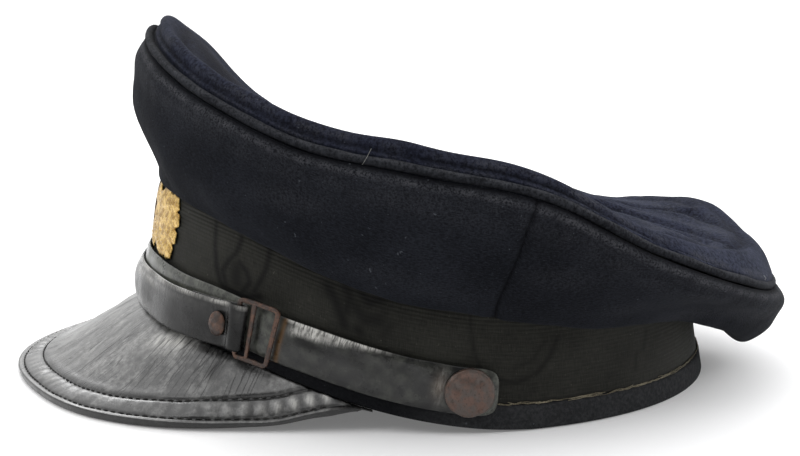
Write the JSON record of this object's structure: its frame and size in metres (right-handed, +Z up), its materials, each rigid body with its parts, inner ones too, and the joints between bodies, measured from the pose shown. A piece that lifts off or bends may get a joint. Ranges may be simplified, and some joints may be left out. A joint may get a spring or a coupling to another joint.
{
  "type": "peaked cap",
  "caption": "Worn peaked cap with a slumped dark wool crown, ribbed band, leather peak, buckled chin strap, side buttons and a gilt leaf badge.",
  "frame": {"origin": "middle of the cap's bounding box, at the height of the table it lies on", "axes": "+Z up, the peak points along -Y, the wearer's left is +X"},
  "size_m": [0.22, 0.2782, 0.125],
  "materials": {
    "navy_wool": "matt, fuzzy woollen cloth",
    "black_ribbon": "matt ribbed ribbon",
    "black_leather": "worn, half glossy",
    "rusted_steel": "rusted",
    "brown_metal": "tarnished brown",
    "gilt": "gilt, slightly worn",
    "dark_bronze": "dark patina"
  },
  "bodies": {
    "root": {"crown_top": "navy_wool", "crown_side_front": "navy_wool", "crown_side_rear": "navy_wool", "crown_piping": "navy_wool", "band": "black_ribbon", "welt": "navy_wool", "peak": "black_leather", "strap_under": "black_leather", "strap_over": "black_leather", "buckle_left": "rusted_steel", "buckle_right": "rusted_steel", "stud_left": "brown_metal", "stud_right": "brown_metal", "button_left": "brown_metal", "button_right": "brown_metal", "badge_wreath": "gilt", "badge_boss": "dark_bronze"}
  },
  "joints": []
}
